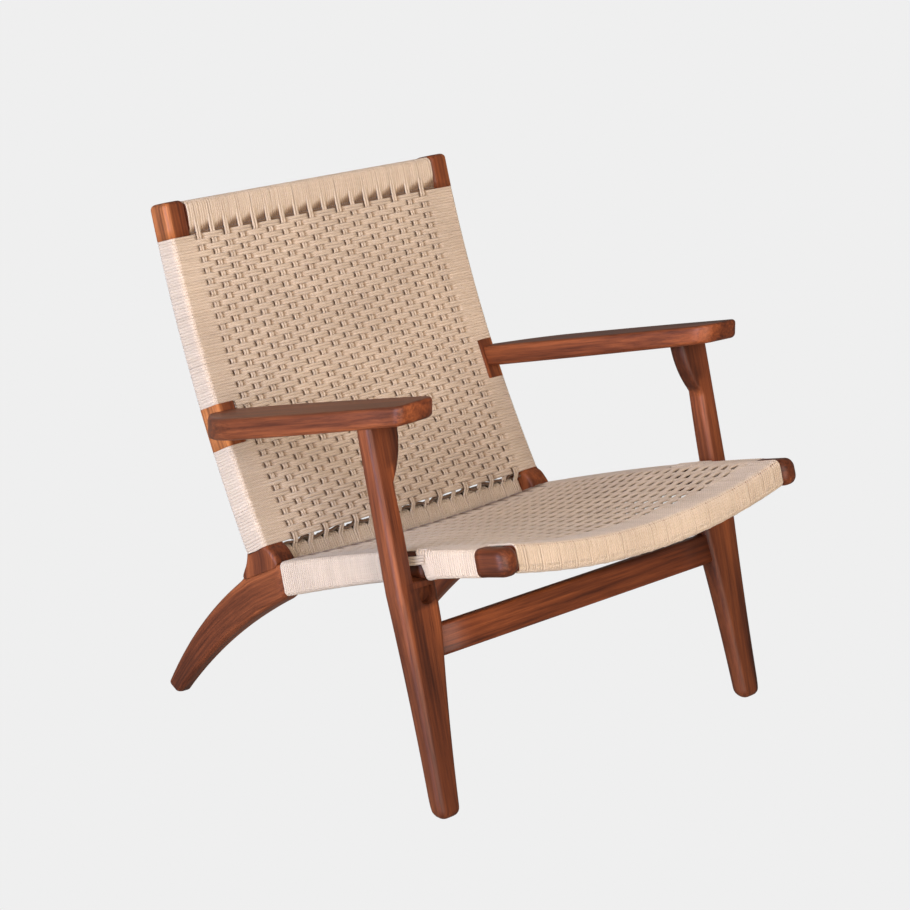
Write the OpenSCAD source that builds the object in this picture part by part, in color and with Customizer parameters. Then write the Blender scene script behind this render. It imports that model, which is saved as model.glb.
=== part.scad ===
// Low wooden armchair with a woven paper-cord seat and back.
// Front of the chair towards -Y, floor at Z = 0, origin under the middle of the chair.

/* [Seat] */
// Distance between the outer faces of the seat rails at their front ends
seat_front_w = 594; // [580:1:606]
// Inward turn of each side board towards the rear, degrees
side_splay = 2.86; // [2.6:0.02:3]
// Thickness of the side boards
board_t = 32; // [30:0.5:33]
// Height of the side rail's top edge at its rear end
seat_rear_h = 262; // [260:0.5:264]
// Slope of the seat, degrees
seat_slope = 15.8; // [15.4:0.1:16.2]
// Dip of the front rail at its middle
front_dip = 29; // [20:1:32]
// Dip of the seat's rear rail at its middle
rear_dip = 8; // [4:1:12]

/* [Back] */
// Distance between the outer faces of the back posts
back_w = 550; // [544:1:552]
// Width of a back post, seen from the front
post_w = 36; // [34:1:37]
// Height of the back posts at their front top corner
post_top = 728; // [720:1:732]

/* [Armrests] */
// Thickness of an armrest at its front end
arm_t = 27; // [24:0.5:28]
// Height of an armrest's top at its front end
arm_h = 550; // [546:0.5:553]
// Slope of the armrests, degrees
arm_slope = 13.66; // [13.2:0.02:14]

/* [Front legs] */
// Forward lean of the front legs, degrees
leg_lean = 14.2; // [13.8:0.1:14.6]
// Distance from the middle of the chair to a leg's outer face
leg_out = 334; // [330:1:336]
// Depth of a front leg at the seat
leg_d = 32; // [29:1:34]
// Height of the front stretcher
stretcher_h = 41; // [36:1:44]

/* [Cord] */
// Diameter of the paper cord
cord_d = 3; // [2.5:0.1:3.2]

/* [Hidden] */

wood = "#7d4630";
cord = "#cfb496";
steel = "#8d8f92";
brass = "#a58a52";
$fn = 48;
far = 400;

// ---- outline helpers ----

// Points from p to q on an arc that bulges s to the left of the line p-q
function arc(p, q, s, n = 14) =
    let (d = q - p, len = norm(d), g = sign(s), h = abs(s), r = (len * len / 4 + h * h) / (2 * h),
         nrm = [-d[1], d[0]] / len, c = (p + q) / 2 + nrm * g * (h - r), a = asin(len / 2 / r))
    [for (i = [0:n]) let (t = a * (1 - 2 * i / n)) c + r * (g * nrm * cos(t) - d / len * sin(t))];

// Corner b between a and c, rounded with radius r
function corner(a, b, c, r, n = 8) =
    let (u = (a - b) / norm(a - b), v = (c - b) / norm(c - b), half = acos(u * v) / 2,
         t = r / tan(half), turn = cross(b - a, c - b), sag = r * (1 - sin(half)))
    arc(b + u * t, b + v * t, turn > 0 ? -sag : sag, n);

// Outline in (y, z), extruded along x from x0 to x1
module side_plate(points, x0, x1) {
    translate([x0, 0, 0]) rotate([90, 0, 90]) linear_extrude(x1 - x0) polygon(points);
}

// Outline in (x, z), extruded along y from y0 to y1
module front_plate(points, y0, y1) {
    translate([0, y1, 0]) rotate([90, 0, 0]) linear_extrude(y1 - y0) polygon(points);
}

// The left-hand one of a mirrored pair
module left() { mirror([1, 0, 0]) children(); }

// ---- side boards: seat rail and rear leg in one ----

seat_front_y = -350;
rail_rear_y = 84.5;
rail_len = rail_rear_y - seat_front_y;
rail_crown = 6;
rail_front_t = 39;
rail_rear_t = 51;
rail_waist = 2.5;
cap_y = -304;
leg_gap_front = -199;
leg_gap_rear = -153;
wrap_rear_y = 86;
post_seat_front = [106.6, 252.3];
post_seat_rear = [174.5, 219.5];

function rail_top(y) = seat_rear_h + tan(seat_slope) * (rail_rear_y - y)
    + rail_crown * sin(180 * (rail_rear_y - y) / rail_len);
function rail_low(y) = let (u = (y - seat_front_y) / rail_len)
    rail_top(y) - rail_front_t - (rail_rear_t - rail_front_t) * u + rail_waist * sin(180 * u);

// Stretch of the side rail from y0 to y1, with its edges moved in by c
function rail_band(y0, y1, c = 0, n = 12) = concat(
    [for (i = [0:n]) let (y = y0 + (y1 - y0) * i / n) [y, rail_low(y) + c]],
    [for (i = [n:-1:0]) let (y = y0 + (y1 - y0) * i / n) [y, rail_top(y) - c]]);

heel_y = 353;
leg_taper_y = 172;
leg_taper_top = 260;
leg_taper = 7;
rear_leg_points = concat(
    [[wrap_rear_y, rail_low(wrap_rear_y)], [wrap_rear_y, rail_top(wrap_rear_y)], post_seat_front, post_seat_rear],
    arc([178, 216.5], [190, 206.5], -1, 4),
    arc([190, 206.5], [361, 13], 12),
    arc([361.5, 9], [heel_y, 0], 2, 5),
    arc([337, 0], [98, 200.5], -13));

// The right side board's frame: outer face at its front end on the seat's front corner
module on_right_board() {
    translate([seat_front_w / 2, seat_front_y, 0]) rotate([0, 0, side_splay])
        translate([-board_t, -seat_front_y, 0]) children();
}

cap_points = concat(
    corner([cap_y, rail_low(cap_y)], [-350, rail_low(-350) + 1], [-341, rail_top(-341)], 9),
    corner([-350, rail_low(-350) + 1], [-341.5, rail_top(-341)], [cap_y, rail_top(cap_y)], 9),
    [[cap_y, rail_top(cap_y)], [cap_y, rail_low(cap_y)]]);

module right_board_blank() {
    on_right_board() {
        side_plate(rear_leg_points, 0, board_t);
        side_plate(rail_band(cap_y - 1, wrap_rear_y + 1, cord_d), cord_d, board_t - cord_d);
        side_plate(rail_band(leg_gap_front, leg_gap_rear, 0, 3), 0, board_t);
        side_plate(cap_points, 0, board_t);
    }
}

module right_side_board() {
    difference() {
        right_board_blank();
        on_right_board() linear_extrude(leg_taper_top) polygon([
            [-1, leg_taper_y], [0, leg_taper_y], [leg_taper, heel_y], [-1, heel_y + 20]]);
        post_dowel_set();
        seat_rail_dowel_set();
        leg_fixing_holes();
    }
}

module right_seat_wrap(y0, y1) {
    on_right_board() difference() {
        side_plate(rail_band(y0, y1), 0, board_t);
        side_plate(rail_band(y0 - 5, y1 + 5, cord_d), cord_d, board_t - cord_d);
    }
}

// ---- back posts ----

post_x = back_w / 2;
front_arc = [-1461.4, 1231, 1853];
rear_arc = [-1733.6, 1300.3, 2171.5];
function on_arc(a, z) = a[0] + sqrt(a[2] * a[2] - (z - a[1]) * (z - a[1]));
function post_front(z) = on_arc(front_arc, z);
function post_rear(z) = on_arc(rear_arc, z);
post_lean_top = asin((front_arc[1] - post_top) / front_arc[2]);

post_cap_z = 679;
gap_top_z = 458.5;
gap_low_z = 404;
wrap_low_z = 275;

// Point where a square cut across the post from the front edge at z meets the rear edge
function across(z) =
    let (a = asin((front_arc[1] - z) / front_arc[2]), w = post_rear(z) - post_front(z),
         drop = w * cos(a) * sin(a)) z - drop;

// Stretch of the post between square cuts at z0 and z1 on its front edge, edges moved in by c
function post_band(z0, z1, c = 0, n = 10) = concat(
    [for (i = [0:n]) let (z = z1 + (z0 - z1) * i / n) [post_front(z) + c, z]],
    [for (i = [0:n]) let (z = across(z0) + (across(z1) - across(z0)) * i / n) [post_rear(z) - c, z]]);

post_foot_points = concat(
    [post_seat_rear],
    arc([172, 232], [post_rear(256) + 1, 256], 1, 4),
    [[post_rear(across(wrap_low_z)), across(wrap_low_z)], [post_front(wrap_low_z), wrap_low_z]],
    arc([post_front(wrap_low_z) - 1, wrap_low_z - 2], post_seat_front + [2, -1], -3, 6));

post_head_points =
    let (a = [post_front(post_cap_z), post_cap_z], b = [post_front(post_top), post_top],
         e = [post_rear(across(post_top)), across(post_top)],
         f = [post_rear(across(post_cap_z)), across(post_cap_z)])
    concat([f, a], corner(a, b, e, 7), corner(b, e, f, 7));

module right_post_blank() {
    inner = post_x - post_w;
    side_plate(post_foot_points, inner, post_x);
    side_plate(post_head_points, inner, post_x);
    side_plate(post_band(gap_low_z, gap_top_z), inner, post_x);
    side_plate(post_band(wrap_low_z - 1, post_cap_z + 1, cord_d, 24), inner + cord_d, post_x - cord_d);
}

module right_back_post() {
    difference() {
        right_post_blank();
        post_dowel_set();
        back_rail_dowel_set();
        arm_post_dowel();
    }
}

module right_post_wrap(z0, z1) {
    inner = post_x - post_w;
    difference() {
        side_plate(post_band(z0, z1, 0, 16), inner, post_x);
        side_plate(post_band(z0 - 5, z1 + 5, cord_d, 16), inner + cord_d, post_x - cord_d);
    }
}

// ---- back rails ----

rail_end = post_x - post_w;
top_rail_h = 48;
top_rail_d = 25;
low_rail_h = 26;
low_rail_d = 28;
top_rail_at = [0, post_front(post_cap_z + 1), post_cap_z + 1];
low_rail_at = [0, 119, 241];
low_rail_lean = 29;

// Rectangle with rounded corners, from (0, 0) to (w, h), edges moved in by c
function pill(w, h, r, c = 0) =
    let (a = [c, c], b = [w - c, c], d = [w - c, h - c], e = [c, h - c], q = max(r - c, 2))
    concat(corner(e, a, b, q), corner(a, b, d, q), corner(b, d, e, q), corner(d, e, a, q));

module on_top_rail() { translate(top_rail_at) rotate([-post_lean_top, 0, 0]) children(); }
module on_low_rail() { translate(low_rail_at) rotate([-low_rail_lean, 0, 0]) children(); }

module back_top_rail() {
    difference() {
        on_top_rail() side_plate(pill(top_rail_d, top_rail_h, 10, cord_d), -rail_end, rail_end);
        both() back_rail_dowel_set();
        back_nail_set(1);
    }
}

module back_bottom_rail() {
    difference() {
        on_low_rail() side_plate(pill(low_rail_d, low_rail_h, 10, cord_d), -rail_end, rail_end);
        both() back_rail_dowel_set();
        back_nail_set(0);
    }
}

module rail_wrap(w, h) {
    difference() {
        side_plate(pill(w, h, 10), -rail_end, rail_end);
        side_plate(pill(w, h, 10, cord_d), -rail_end - 1, rail_end + 1);
    }
}

// ---- seat rails ----

front_rail_h = 39;
front_rail_d = 29;
rear_rail_h = 30;
rear_rail_d = 40;
front_rail_at = [0, seat_front_y, rail_low(seat_front_y) + 1];
rear_rail_y = 52;
rear_rail_at = [0, rear_rail_y, rail_top(rear_rail_y) - rear_rail_h - 6];
front_rail_x = seat_front_w / 2 - board_t - 1;
bow_x = 300;
seat_w_fall = tan(side_splay);
// Inner face of the side boards at y
function board_inner(y) = seat_front_w / 2 - board_t / cos(side_splay) - seat_w_fall * (y - seat_front_y);

// Bowed bar outline in (x, z): at the side boards it spans z 0 to h, its middle is lower by dip
function bow(h, dip, c = 0) =
    let (deep = dip * pow(bow_x / front_rail_x, 2), up = deep - dip)
    concat(arc([-bow_x, up + c], [bow_x, up + c], -deep, 32),
           arc([bow_x, up + h - c], [-bow_x, up + h - c], deep, 32));

module on_front_rail() { translate(front_rail_at) rotate([-seat_slope, 0, 0]) children(); }
module on_rear_rail() { translate(rear_rail_at) rotate([-seat_slope, 0, 0]) children(); }

// Keeps what lies between the side boards
module between_boards() {
    intersection() {
        children();
        linear_extrude(far * 2) polygon([
            [-board_inner(-far), -far], [board_inner(-far), -far],
            [board_inner(far), far], [-board_inner(far), far]]);
    }
}

module bowed_rail(h, d, dip, c = 0) {
    front_plate(bow(h, dip, c), c, d - c);
}

module bowed_wrap(h, d, dip) {
    difference() {
        bowed_rail(h, d, dip);
        bowed_rail(h, d, dip, cord_d);
    }
}

module seat_front_rail() {
    difference() {
        between_boards() on_front_rail() bowed_rail(front_rail_h, front_rail_d, front_dip, cord_d);
        both() seat_rail_dowel_set();
        seat_nail_set(0);
    }
}

module seat_rear_rail() {
    difference() {
        between_boards() on_rear_rail() bowed_rail(rear_rail_h, rear_rail_d, rear_dip, cord_d);
        both() seat_rail_dowel_set();
        seat_nail_set(1);
    }
}

module seat_front_rail_wrap() {
    color(cord) between_boards() on_front_rail() bowed_wrap(front_rail_h, front_rail_d, front_dip);
}

module seat_rear_rail_wrap() {
    color(cord) between_boards() on_rear_rail() bowed_wrap(rear_rail_h, rear_rail_d, rear_dip);
}

// ---- armrests ----

arm_front_y = -203;
arm_rear_y = 230;
arm_rear_t = 32;
arm_tilt = 1.6;
arm_mid_x = 300;
arm_inner_r = 26;
arm_outer_r = 11;
arm_front_in = 262;
arm_front_out = 335;
arm_wide = [341, 104];
arm_tail = [276, arm_rear_y];

arm_plan = let (a = [arm_front_in, arm_front_y], b = [arm_front_out, arm_front_y])
    concat(
        corner([251, 30], a, b, arm_inner_r), corner(a, b, [arm_front_out + 7, -60], arm_outer_r),
        arc([arm_front_out + 1.3, arm_front_y + 28], arm_wide, -4.6),
        arc(arm_wide, arm_tail, -14, 8),
        arc([250, arm_rear_y], [arm_front_in - 1.6, arm_front_y + 28], -7));

function arm_top(y) = arm_h + tan(arm_slope) * (arm_front_y - y);
function arm_low(y) = arm_top(y) - arm_t
    - (arm_rear_t - arm_t) * (y - arm_front_y) / (arm_rear_y - arm_front_y);

// Space between the armrest's top and underside, or all above the underside
module right_arm_layer(extra = 0) {
    translate([arm_mid_x, 0, 0]) rotate([0, arm_tilt, 0])
        side_plate([[-300, arm_low(-300)], [300, arm_low(300)],
            [300, arm_top(300) + extra], [-300, arm_top(-300) + extra]], -70, 60);
}

module right_arm_blank() {
    intersection() {
        right_arm_layer();
        translate([0, 0, far]) linear_extrude(far) polygon(arm_plan);
    }
}

module right_armrest() {
    difference() {
        right_arm_blank();
        side_plate(post_band(gap_low_z - 20, gap_top_z + 20), 200, post_x);
        side_plate([[post_front(370), 370], [far, 370], [far, 500], [post_front(500), 500]], 200, post_x);
        arm_leg_dowel();
        arm_post_dowel();
    }
}

// ---- front legs ----

leg_foot_y = -260.5;
leg_foot_d = 24;
leg_top_d = 27.5;
leg_seat_z = 306;
leg_upper_in = leg_out - 30;
leg_slim_z = 345;
leg_lower_in = 266;
leg_shelf_z = 307;
leg_flare_z = 436;
function leg_mid(z) = leg_foot_y + tan(leg_lean) * z;

leg_side_points = concat(
    corner([leg_mid(60) - 12, 60], [leg_mid(0) - leg_foot_d / 2, 0], [leg_mid(0), 0], 6),
    corner([leg_mid(0), 0], [leg_mid(0) + leg_foot_d / 2, 0], [leg_mid(60) + 12, 60], 6),
    [[leg_mid(leg_seat_z) + leg_d / 2, leg_seat_z], [leg_mid(540) + leg_top_d / 2, 540],
     [leg_mid(540) - leg_top_d / 2, 540], [leg_mid(leg_seat_z) - leg_d / 2, leg_seat_z]]);

leg_front_points = concat(
    corner([288.5, 60], [292.5, 0], [308, 0], 6),
    corner([308, 0], [leg_out - 9, 0], [leg_out - 4, 60], 6),
    arc([leg_out - 7.5, 20], [leg_out, 300], 2.2),
    [[leg_out + 1, 540], [276, 540], [282, 503]],
    arc([283, 500], [leg_upper_in + 1, leg_flare_z], -5),
    arc([leg_upper_in, 400], [leg_upper_in, leg_slim_z + 8], -0.5, 3),
    [[leg_upper_in, leg_shelf_z], [leg_lower_in, leg_shelf_z]],
    arc([leg_lower_in, 246], [290.5, 14], 2.5));

stretcher_z = 200.5 + stretcher_h / 2;
stretcher_d = 20;
tenon_d = 10;
tenon_h = 28;
tenon_len = 14;
stretcher_end = 269;
leg_inner_face = 268;

module on_stretcher() {
    translate([0, leg_mid(stretcher_z), stretcher_z]) rotate([-leg_lean, 0, 0]) children();
}

module stretcher_tenon() {
    on_stretcher() translate([0, -tenon_d / 2, -tenon_h / 2])
        cube([stretcher_end + tenon_len, tenon_d, tenon_h]);
}

module right_leg_blank() {
    intersection() {
        side_plate(leg_side_points, 200, 400);
        front_plate(leg_front_points, -300, 0);
    }
}

module right_front_leg() {
    difference() {
        right_leg_blank();
        right_arm_layer(100);
        on_right_board() side_plate(rail_band(-260, -100), -20, board_t);
        stretcher_tenon();
        leg_fixing_holes();
        arm_leg_dowel();
    }
}

module front_stretcher() {
    color(wood) {
        difference() {
            on_stretcher() translate([-280, -stretcher_d / 2, -stretcher_h / 2])
                cube([560, stretcher_d, stretcher_h]);
            both() side_plate([[-300, 150], [0, 150], [0, 290], [-300, 290]], leg_inner_face, 400);
        }
        both() intersection() {
            stretcher_tenon();
            translate([leg_inner_face, -far, 0]) cube([100, far, far]);
        }
    }
}

// ---- fixings ----

module both() { children(); mirror([1, 0, 0]) children(); }

// Round peg from a to b
module peg(a, b, d) {
    v = b - a;
    translate(a) rotate([0, acos(v[2] / norm(v)), atan2(v[1], v[0])]) cylinder(d = d, h = norm(v));
}

// Post to side board: two pegs square to the seat cut
post_cut = (post_seat_rear - post_seat_front) / norm(post_seat_rear - post_seat_front);
post_up = [-post_cut[1], post_cut[0]];
module post_dowel_set() {
    for (t = [18, 50]) {
        m = post_seat_front + post_cut * t;
        a = m - post_up * 14;
        b = m + post_up * 16;
        peg([256.5, a[0], a[1]], [256.5, b[0], b[1]], 8);
    }
}

// Back rails to posts: pegs along x
module back_rail_dowel_set() {
    for (h = [12, 30])
        on_top_rail() translate([rail_end - 14, top_rail_d / 2, h]) rotate([0, 90, 0]) cylinder(d = 8, h = 28);
    on_low_rail() translate([rail_end - 14, low_rail_d / 2, low_rail_h / 2])
        rotate([0, 90, 0]) cylinder(d = 8, h = 28);
}

// Seat rails to side boards: pegs square to the board
module seat_rail_dowel_set() {
    on_right_board() for (p = [
        [seat_front_y + 14, rail_low(seat_front_y) + 10], [seat_front_y + 20, rail_low(seat_front_y) + 22],
        [rear_rail_y + 12, rail_top(rear_rail_y) - 26], [rear_rail_y + 22, rail_top(rear_rail_y) - 26]])
        translate([-14, p[0], p[1]]) rotate([0, 90, 0]) cylinder(d = 8, h = 28);
}

// Armrest to front leg: one upright peg
module arm_leg_dowel() {
    peg([307, leg_mid(488), 488], [307, leg_mid(522), 522], 10);
}

// Armrest to back post: one peg along the armrest
module arm_post_dowel() {
    y = post_front(430);
    peg([262, y - 26, 430 + 6.3], [262, y + 18, 430 - 4.4], 8);
}

// Front leg to side board: bolt from a pocket in the leg up into a barrel nut in the board
bolt_at = [288, leg_mid(297), 297];
bolt_turn = 25;
bolt_hole_d = 6.4;
bolt_len = 32;
head_d = 12;
pocket_w = 25;
pocket_low = 278;
pocket_top = 299;
pocket_floor_y = bolt_at[1] + 7;
nut_up = 24;
nut_hole_d = 10;
nut_len = 16;
module on_bolt() { translate(bolt_at) rotate([-seat_slope, -bolt_turn, 0]) children(); }

module barrel(d) {
    on_bolt() translate([0, 0, nut_up]) rotate([90, 0, 0]) cylinder(d = d, h = nut_len, center = true);
}

module leg_fixing_holes() {
    round_z = pocket_low + pocket_w / 2;
    on_bolt() cylinder(d = bolt_hole_d, h = bolt_len + 2);
    on_bolt() translate([0, 0, -7]) cylinder(d = head_d + 2, h = 7);
    barrel(nut_hole_d);
    translate([bolt_at[0], pocket_floor_y, round_z]) rotate([90, 0, 0]) cylinder(d = pocket_w, h = 40);
    translate([bolt_at[0] - pocket_w / 2, pocket_floor_y - 40, round_z])
        cube([pocket_w, 40, pocket_top - round_z]);
}

// Nails that hold the cord, along the inner edges of the seat and back rails
nail_n = 18;
nail_pitch = 25;
function bow_drop(x, dip) = dip * (1 - pow(x / front_rail_x, 2));
module seat_nail_set(k) {
    for (i = [0:nail_n - 1]) {
        x = (i - (nail_n - 1) / 2) * nail_pitch;
        if (k == 0)
            on_front_rail() translate([x, front_rail_d - cord_d - 6, front_rail_h / 2 - bow_drop(x, front_dip)])
                rotate([-90, 0, 0]) cylinder(d = 2, h = 7.5, $fn = 16);
        else
            on_rear_rail() translate([x, cord_d + 6, rear_rail_h / 2 - bow_drop(x, rear_dip)])
                rotate([90, 0, 0]) cylinder(d = 2, h = 7.5, $fn = 16);
    }
}
module back_nail_set(k) {
    for (i = [0:nail_n - 1]) {
        x = (i - (nail_n - 1) / 2) * nail_pitch;
        if (k == 1)
            on_top_rail() translate([x, top_rail_d / 2, cord_d + 6])
                rotate([180, 0, 0]) cylinder(d = 2, h = 7.5, $fn = 16);
        else
            on_low_rail() translate([x, low_rail_d / 2, low_rail_h - cord_d - 6]) cylinder(d = 2, h = 7.5, $fn = 16);
    }
}

module leg_bolt() {
    on_bolt() {
        cylinder(d = 6, h = bolt_len);
        translate([0, 0, -5.5]) difference() {
            cylinder(d = head_d, h = 5.5);
            translate([0, 0, -1]) cylinder(d = 5.8, h = 4, $fn = 6);
        }
    }
}

module leg_barrel_nut() {
    difference() {
        barrel(nut_hole_d - 0.2);
        on_bolt() cylinder(d = 6.1, h = bolt_len + 8);
    }
}

// ---- cord panels ----

panel_t = 7;
back_panel_low = low_rail_at[2] + low_rail_h * cos(low_rail_lean) + 1;

seat_panel_dip = 20;
module seat_weave() {
    len = (rear_rail_y - seat_front_y) / cos(seat_slope) - front_rail_d - 0.6;
    color(cord) between_boards() translate([0, 0, rail_crown / 2]) on_front_rail()
        translate([0, front_rail_d + 0.3, front_rail_h - panel_t - 3])
            front_plate(bow(panel_t, seat_panel_dip), 0, len);
}

module back_weave() {
    n = 24;
    z1 = post_cap_z - 0.5;
    z0 = back_panel_low + 1;
    color(cord) side_plate(concat(
        [for (i = [0:n]) let (z = z1 + (z0 - z1) * i / n) [post_front(z), z]],
        [for (i = [0:n]) let (z = z0 + (z1 - z0) * i / n) [post_front(z) + panel_t, z]]),
        -rail_end + 0.1, rail_end - 0.1);
}

color(wood) left() right_side_board();  // left_side_board
color(wood) right_side_board();
color(wood) left() right_back_post();  // left_back_post
color(wood) right_back_post();
color(wood) back_top_rail();
color(wood) back_bottom_rail();
color(wood) seat_front_rail();
color(wood) seat_rear_rail();
color(wood) left() right_front_leg();  // left_front_leg
color(wood) right_front_leg();
color(wood) left() right_armrest();  // left_armrest
color(wood) right_armrest();
front_stretcher();
color("tan") both() post_dowel_set();  // post_dowels
color("tan") both() back_rail_dowel_set();  // back_rail_dowels
color("tan") both() seat_rail_dowel_set();  // seat_rail_dowels
color("tan") both() arm_leg_dowel();  // arm_leg_dowels
color("tan") both() arm_post_dowel();  // arm_post_dowels
color(steel) both() leg_bolt();  // leg_bolts
color(steel) both() leg_barrel_nut();  // leg_barrel_nuts
color(brass) { seat_nail_set(0); seat_nail_set(1); }  // seat_cord_nails
color(brass) { back_nail_set(0); back_nail_set(1); }  // back_cord_nails
color(cord) left() right_seat_wrap(leg_gap_rear, wrap_rear_y);  // left_seat_wrap_rear
color(cord) right_seat_wrap(leg_gap_rear, wrap_rear_y);  // right_seat_wrap_rear
color(cord) left() right_seat_wrap(cap_y, leg_gap_front);  // left_seat_wrap_front
color(cord) right_seat_wrap(cap_y, leg_gap_front);  // right_seat_wrap_front
seat_front_rail_wrap();
seat_rear_rail_wrap();
color(cord) left() right_post_wrap(gap_top_z, post_cap_z);  // left_post_wrap_upper
color(cord) right_post_wrap(gap_top_z, post_cap_z);  // right_post_wrap_upper
color(cord) left() right_post_wrap(wrap_low_z, gap_low_z);  // left_post_wrap_lower
color(cord) right_post_wrap(wrap_low_z, gap_low_z);  // right_post_wrap_lower
color(cord) on_top_rail() rail_wrap(top_rail_d, top_rail_h);  // back_top_rail_wrap
color(cord) on_low_rail() rail_wrap(low_rail_d, low_rail_h);  // back_bottom_rail_wrap
seat_weave();
back_weave();
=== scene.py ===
"""Looks of the wooden armchair: rounded, grained wood and real strands of paper cord round the CAD frame.

Lengths are in millimetres until a mesh is made. X is across the chair, Y runs from front to back, Z is up.
"""

import math

import bpy
import numpy as np
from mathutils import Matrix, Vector


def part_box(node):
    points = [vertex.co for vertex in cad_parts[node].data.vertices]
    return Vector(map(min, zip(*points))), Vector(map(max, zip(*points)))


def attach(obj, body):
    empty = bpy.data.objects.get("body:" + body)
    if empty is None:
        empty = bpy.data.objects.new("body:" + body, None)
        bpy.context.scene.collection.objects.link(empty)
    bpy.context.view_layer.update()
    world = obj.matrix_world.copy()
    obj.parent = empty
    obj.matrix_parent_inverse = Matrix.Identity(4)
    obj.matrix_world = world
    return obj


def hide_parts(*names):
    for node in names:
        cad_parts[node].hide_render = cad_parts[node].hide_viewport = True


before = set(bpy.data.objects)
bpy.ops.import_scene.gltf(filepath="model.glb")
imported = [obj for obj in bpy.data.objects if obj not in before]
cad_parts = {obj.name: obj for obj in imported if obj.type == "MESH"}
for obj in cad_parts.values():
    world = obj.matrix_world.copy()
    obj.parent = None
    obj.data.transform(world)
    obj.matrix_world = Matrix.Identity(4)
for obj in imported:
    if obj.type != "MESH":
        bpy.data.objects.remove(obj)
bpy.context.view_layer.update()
MM = 0.001


def box(node):
    """Lowest and highest corner of a CAD node, in mm."""
    lo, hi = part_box(node)
    return np.array(lo) / MM, np.array(hi) / MM


def rad(deg):
    return math.radians(deg)


def unit(v):
    v = np.asarray(v, float)
    return v / np.maximum(np.linalg.norm(v, axis=-1, keepdims=True), 1e-9)


def stacked(*parts):
    """Numbers or arrays side by side along a new last axis."""
    return np.stack(np.broadcast_arrays(*parts), -1)


# ---- the chair's shape, as in the CAD ----

CORD_T = 3.0  # how far the cord lies proud of the wood
BARE_STEP = 0.2  # length of the step from bare wood to wrapped wood

# Side boards: each is a seat rail and a rear leg in one
BOARD_OUT, BOARD_T = 297.0, 32.0  # outer face at the front end, and thickness
SPLAY, SLOPE = rad(2.86), rad(15.8)  # seen from above, and from the side
BOARD_FRONT_Y = -350.0
CAP_Y = -304.0  # rear end of the bare cap
LEG_GAP = (-199.0, -153.0)  # bare stretch where the front leg passes
WRAP_REAR_Y = 86.0
SEAT_REAR_H, RAIL_REAR_Y = 262.0, 84.5  # height of the top edge at the rail's rear end
RAIL_LEN = RAIL_REAR_Y - BOARD_FRONT_Y
RAIL_CROWN, RAIL_WAIST = 6.0, 2.5
RAIL_FRONT_T, RAIL_REAR_T = 39.0, 51.0
SEAT_CUT = ((106.6, 252.3), (174.5, 219.5)) # the flat where the post stands on the board, as (y, z)

# Back posts: each face is an arc with its centre at (y, z) and a radius
POST_IN = box("back_top_rail")[1][0]
POST_OUT = box("right_back_post")[1][0]
POST_FRONT_ARC = (-1461.4, 1231.0, 1853.0)
POST_REAR_ARC = (-1732.6, 1300.3, 2171.5)
POST_TOP_Z, POST_CAP_Z = 728.0, 679.0  # top, and lower end of the bare cap
POST_GAP = (404.0, 458.5)  # bare stretch behind the armrest
WRAP_LOW_Z = 275.0

LEG_LEAN = math.tan(rad(14.2))


def rail_top(y):
    return (SEAT_REAR_H + math.tan(SLOPE) * (RAIL_REAR_Y - y)
            + RAIL_CROWN * np.sin(np.pi * (RAIL_REAR_Y - y) / RAIL_LEN))


def rail_low(y):
    u = (y - BOARD_FRONT_Y) / RAIL_LEN
    return rail_top(y) - RAIL_FRONT_T - (RAIL_REAR_T - RAIL_FRONT_T) * u + RAIL_WAIST * np.sin(np.pi * u)


def on_arc(arc, z):
    return arc[0] + np.sqrt(arc[2] ** 2 - (z - arc[1]) ** 2)


def post_front(z):
    return on_arc(POST_FRONT_ARC, z)


def post_lean(z):
    """Angle of the post's front face from upright at height z."""
    return np.arcsin((POST_FRONT_ARC[1] - z) / POST_FRONT_ARC[2])


def post_depth(z):
    """Depth of the post square to its front face at height z."""
    return (on_arc(POST_REAR_ARC, z) - post_front(z)) * np.cos(post_lean(z))


def board_inner(y):
    return BOARD_OUT - BOARD_T / math.cos(SPLAY) - math.tan(SPLAY) * (y - BOARD_FRONT_Y)


# ---- curves and meshes ----

def arc(p, q, bulge, n=14):
    """Points from p to q on an arc that bulges to the left of the line p-q."""
    p, q = np.array(p, float), np.array(q, float)
    d = q - p
    length = np.linalg.norm(d)
    h, g = abs(bulge), math.copysign(1, bulge)
    r = (length ** 2 / 4 + h * h) / (2 * h)
    left = np.array([-d[1], d[0]]) / length
    centre = (p + q) / 2 + left * g * (h - r)
    half = math.asin(min(1.0, length / 2 / r))
    t = half * (1 - 2 * np.linspace(0, 1, n + 1))[:, None]
    return centre + r * (g * left * np.cos(t) - d / length * np.sin(t))


def corner(a, b, c, r, n=8):
    """Corner b between a and c rounded with radius r."""
    a, b, c = (np.array(p, float) for p in (a, b, c))
    u, v = unit(a - b), unit(c - b)
    half = math.acos(float(u @ v)) / 2
    reach = r / math.tan(half)
    turn = (b - a)[0] * (c - b)[1] - (b - a)[1] * (c - b)[0]
    sag = r * (1 - math.sin(half))
    return arc(b + u * reach, b + v * reach, -sag if turn > 0 else sag, n)


def along(points, fractions):
    """Points of a polyline at fractions of its length."""
    points = np.asarray(points, float)
    s = np.r_[0, np.cumsum(np.linalg.norm(np.diff(points, axis=0), axis=1))]
    at = np.asarray(fractions) * s[-1]
    return stacked(*(np.interp(at, s, column) for column in points.T))


def smooth(x):
    x = np.clip(x, 0, 1)
    return x * x * (3 - 2 * x)


def tangents(points, closed, axis):
    """Unit vectors along one or more lines of points, which run along the axis."""
    if closed:
        return unit(np.roll(points, -1, axis) - np.roll(points, 1, axis))
    return unit(np.gradient(points, axis=axis))


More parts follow.
